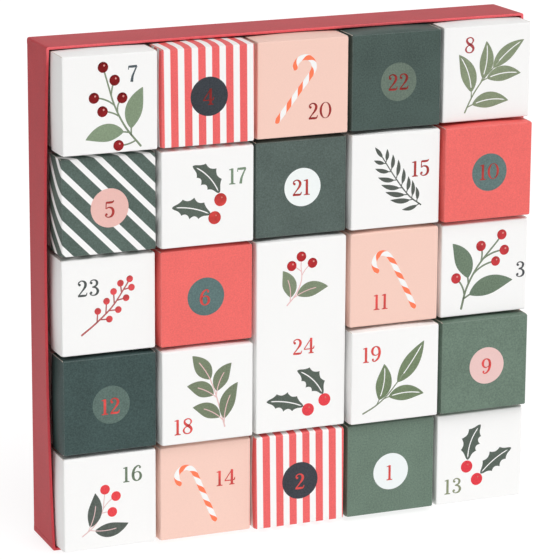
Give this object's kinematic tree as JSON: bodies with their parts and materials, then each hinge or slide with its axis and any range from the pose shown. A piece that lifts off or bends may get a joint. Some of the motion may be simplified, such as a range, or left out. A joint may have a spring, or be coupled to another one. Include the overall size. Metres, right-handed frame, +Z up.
{
  "type": "advent calendar",
  "caption": "Advent calendar: a wrapped tray stands on its edge and holds a grid of small lidded carton boxes, one of double height, that pull out at the front.",
  "frame": {"origin": "middle of the underside of the tray's bottom wall, the face it stands on", "axes": "+X to the right along the front, +Y from the front to the back, +Z up"},
  "size_m": [0.3708, 0.0706, 0.3654],
  "materials": {
    "red_wrap": "matte printed wrapping paper over greyboard",
    "base_carton": "uncoated white carton",
    "lid_white": "matte coated carton",
    "lid_peach": "matte coated carton",
    "lid_red": "matte coated carton",
    "lid_dark_green": "matte coated carton",
    "lid_mid_green": "matte coated carton"
  },
  "bodies": {
    "tray": {"tray_back_board": "red_wrap", "tray_wall_top": "red_wrap", "tray_wall_left": "red_wrap", "tray_wall_bottom": "red_wrap", "tray_wall_right": "red_wrap", "tray_lining_sheet": "red_wrap"},
    "base_01": {"base_01": "base_carton"},
    "lid_01": {"lid_01": "lid_mid_green"},
    "base_02": {"base_02": "base_carton"},
    "lid_02": {"lid_02": "lid_red"},
    "base_03": {"base_03": "base_carton"},
    "lid_03": {"lid_03": "lid_white"},
    "base_04": {"base_04": "base_carton"},
    "lid_04": {"lid_04": "lid_red"},
    "base_05": {"base_05": "base_carton"},
    "lid_05": {"lid_05": "lid_dark_green"},
    "base_06": {"base_06": "base_carton"},
    "lid_06": {"lid_06": "lid_red"},
    "base_07": {"base_07": "base_carton"},
    "lid_07": {"lid_07": "lid_white"},
    "base_08": {"base_08": "base_carton"},
    "lid_08": {"lid_08": "lid_white"},
    "base_09": {"base_09": "base_carton"},
    "lid_09": {"lid_09": "lid_mid_green"},
    "base_10": {"base_10": "base_carton"},
    "lid_10": {"lid_10": "lid_red"},
    "base_11": {"base_11": "base_carton"},
    "lid_11": {"lid_11": "lid_peach"},
    "base_12": {"base_12": "base_carton"},
    "lid_12": {"lid_12": "lid_dark_green"},
    "base_13": {"base_13": "base_carton"},
    "lid_13": {"lid_13": "lid_white"},
    "base_14": {"base_14": "base_carton"},
    "lid_14": {"lid_14": "lid_peach"},
    "base_15": {"base_15": "base_carton"},
    "lid_15": {"lid_15": "lid_white"},
    "base_16": {"base_16": "base_carton"},
    "lid_16": {"lid_16": "lid_white"},
    "base_17": {"base_17": "base_carton"},
    "lid_17": {"lid_17": "lid_white"},
    "base_18": {"base_18": "base_carton"},
    "lid_18": {"lid_18": "lid_white"},
    "base_19": {"base_19": "base_carton"},
    "lid_19": {"lid_19": "lid_white"},
    "base_20": {"base_20": "base_carton"},
    "lid_20": {"lid_20": "lid_peach"},
    "base_21": {"base_21": "base_carton"},
    "lid_21": {"lid_21": "lid_dark_green"},
    "base_22": {"base_22": "base_carton"},
    "lid_22": {"lid_22": "lid_dark_green"},
    "base_23": {"base_23": "base_carton"},
    "lid_23": {"lid_23": "lid_white"},
    "base_24": {"base_24": "base_carton"},
    "lid_24": {"lid_24": "lid_white"}
  },
  "joints": [
    {"name": "pull_box_01", "type": "slide", "parent": "tray", "child": "base_01", "axis": [0, -1, 0], "range_m": [-0.005, 0.045]},
    {"name": "lift_lid_01", "type": "slide", "parent": "base_01", "child": "lid_01", "axis": [0, -1, 0], "range_m": [0, 0.028]},
    {"name": "pull_box_02", "type": "slide", "parent": "tray", "child": "base_02", "axis": [0, -1, 0], "range_m": [-0.005, 0.045]},
    {"name": "lift_lid_02", "type": "slide", "parent": "base_02", "child": "lid_02", "axis": [0, -1, 0], "range_m": [0, 0.028]},
    {"name": "pull_box_03", "type": "slide", "parent": "tray", "child": "base_03", "axis": [0, -1, 0], "range_m": [-0.006, 0.044]},
    {"name": "lift_lid_03", "type": "slide", "parent": "base_03", "child": "lid_03", "axis": [0, -1, 0], "range_m": [0, 0.028]},
    {"name": "pull_box_04", "type": "slide", "parent": "tray", "child": "base_04", "axis": [0, -1, 0], "range_m": [-0.007, 0.043]},
    {"name": "lift_lid_04", "type": "slide", "parent": "base_04", "child": "lid_04", "axis": [0, -1, 0], "range_m": [0, 0.028]},
    {"name": "pull_box_05", "type": "slide", "parent": "tray", "child": "base_05", "axis": [0, -1, 0], "range_m": [-0.003, 0.047]},
    {"name": "lift_lid_05", "type": "slide", "parent": "base_05", "child": "lid_05", "axis": [0, -1, 0], "range_m": [0, 0.028]},
    {"name": "pull_box_06", "type": "slide", "parent": "tray", "child": "base_06", "axis": [0, -1, 0], "range_m": [-0.004, 0.046]},
    {"name": "lift_lid_06", "type": "slide", "parent": "base_06", "child": "lid_06", "axis": [0, -1, 0], "range_m": [0, 0.028]},
    {"name": "pull_box_07", "type": "slide", "parent": "tray", "child": "base_07", "axis": [0, -1, 0], "range_m": [-0.007, 0.043]},
    {"name": "lift_lid_07", "type": "slide", "parent": "base_07", "child": "lid_07", "axis": [0, -1, 0], "range_m": [0, 0.028]},
    {"name": "pull_box_08", "type": "slide", "parent": "tray", "child": "base_08", "axis": [0, -1, 0], "range_m": [-0.003, 0.047]},
    {"name": "lift_lid_08", "type": "slide", "parent": "base_08", "child": "lid_08", "axis": [0, -1, 0], "range_m": [0, 0.028]},
    {"name": "pull_box_09", "type": "slide", "parent": "tray", "child": "base_09", "axis": [0, -1, 0], "range_m": [-0.01, 0.04]},
    {"name": "lift_lid_09", "type": "slide", "parent": "base_09", "child": "lid_09", "axis": [0, -1, 0], "range_m": [0, 0.028]},
    {"name": "pull_box_10", "type": "slide", "parent": "tray", "child": "base_10", "axis": [0, -1, 0], "range_m": [-0.009, 0.041]},
    {"name": "lift_lid_10", "type": "slide", "parent": "base_10", "child": "lid_10", "axis": [0, -1, 0], "range_m": [0, 0.028]},
    {"name": "pull_box_11", "type": "slide", "parent": "tray", "child": "base_11", "axis": [0, -1, 0], "range_m": [-0.006, 0.044]},
    {"name": "lift_lid_11", "type": "slide", "parent": "base_11", "child": "lid_11", "axis": [0, -1, 0], "range_m": [0, 0.028]},
    {"name": "pull_box_12", "type": "slide", "parent": "tray", "child": "base_12", "axis": [0, -1, 0], "range_m": [-0.002, 0.048]},
    {"name": "lift_lid_12", "type": "slide", "parent": "base_12", "child": "lid_12", "axis": [0, -1, 0], "range_m": [0, 0.028]},
    {"name": "pull_box_13", "type": "slide", "parent": "tray", "child": "base_13", "axis": [0, -1, 0], "range_m": [-0.005, 0.045]},
    {"name": "lift_lid_13", "type": "slide", "parent": "base_13", "child": "lid_13", "axis": [0, -1, 0], "range_m": [0, 0.028]},
    {"name": "pull_box_14", "type": "slide", "parent": "tray", "child": "base_14", "axis": [0, -1, 0], "range_m": [-0.002, 0.048]},
    {"name": "lift_lid_14", "type": "slide", "parent": "base_14", "child": "lid_14", "axis": [0, -1, 0], "range_m": [0, 0.028]},
    {"name": "pull_box_15", "type": "slide", "parent": "tray", "child": "base_15", "axis": [0, -1, 0], "range_m": [-0.006, 0.044]},
    {"name": "lift_lid_15", "type": "slide", "parent": "base_15", "child": "lid_15", "axis": [0, -1, 0], "range_m": [0, 0.028]},
    {"name": "pull_box_16", "type": "slide", "parent": "tray", "child": "base_16", "axis": [0, -1, 0], "range_m": [-0.001, 0.049]},
    {"name": "lift_lid_16", "type": "slide", "parent": "base_16", "child": "lid_16", "axis": [0, -1, 0], "range_m": [0, 0.028]},
    {"name": "pull_box_17", "type": "slide", "parent": "tray", "child": "base_17", "axis": [0, -1, 0], "range_m": [-0.006, 0.044]},
    {"name": "lift_lid_17", "type": "slide", "parent": "base_17", "child": "lid_17", "axis": [0, -1, 0], "range_m": [0, 0.028]},
    {"name": "pull_box_18", "type": "slide", "parent": "tray", "child": "base_18", "axis": [0, -1, 0], "range_m": [-0.006, 0.044]},
    {"name": "lift_lid_18", "type": "slide", "parent": "base_18", "child": "lid_18", "axis": [0, -1, 0], "range_m": [0, 0.028]},
    {"name": "pull_box_19", "type": "slide", "parent": "tray", "child": "base_19", "axis": [0, -1, 0], "range_m": [-0.01, 0.04]},
    {"name": "lift_lid_19", "type": "slide", "parent": "base_19", "child": "lid_19", "axis": [0, -1, 0], "range_m": [0, 0.028]},
    {"name": "pull_box_20", "type": "slide", "parent": "tray", "child": "base_20", "axis": [0, -1, 0], "range_m": [-0.005, 0.045]},
    {"name": "lift_lid_20", "type": "slide", "parent": "base_20", "child": "lid_20", "axis": [0, -1, 0], "range_m": [0, 0.028]},
    {"name": "pull_box_21", "type": "slide", "parent": "tray", "child": "base_21", "axis": [0, -1, 0], "range_m": [-0.003, 0.047]},
    {"name": "lift_lid_21", "type": "slide", "parent": "base_21", "child": "lid_21", "axis": [0, -1, 0], "range_m": [0, 0.028]},
    {"name": "pull_box_22", "type": "slide", "parent": "tray", "child": "base_22", "axis": [0, -1, 0], "range_m": [-0.005, 0.045]},
    {"name": "lift_lid_22", "type": "slide", "parent": "base_22", "child": "lid_22", "axis": [0, -1, 0], "range_m": [0, 0.028]},
    {"name": "pull_box_23", "type": "slide", "parent": "tray", "child": "base_23", "axis": [0, -1, 0], "range_m": [-0.001, 0.049]},
    {"name": "lift_lid_23", "type": "slide", "parent": "base_23", "child": "lid_23", "axis": [0, -1, 0], "range_m": [0, 0.028]},
    {"name": "pull_box_24", "type": "slide", "parent": "tray", "child": "base_24", "axis": [0, -1, 0], "range_m": [-0.005, 0.045]},
    {"name": "lift_lid_24", "type": "slide", "parent": "base_24", "child": "lid_24", "axis": [0, -1, 0], "range_m": [0, 0.028]}
  ]
}
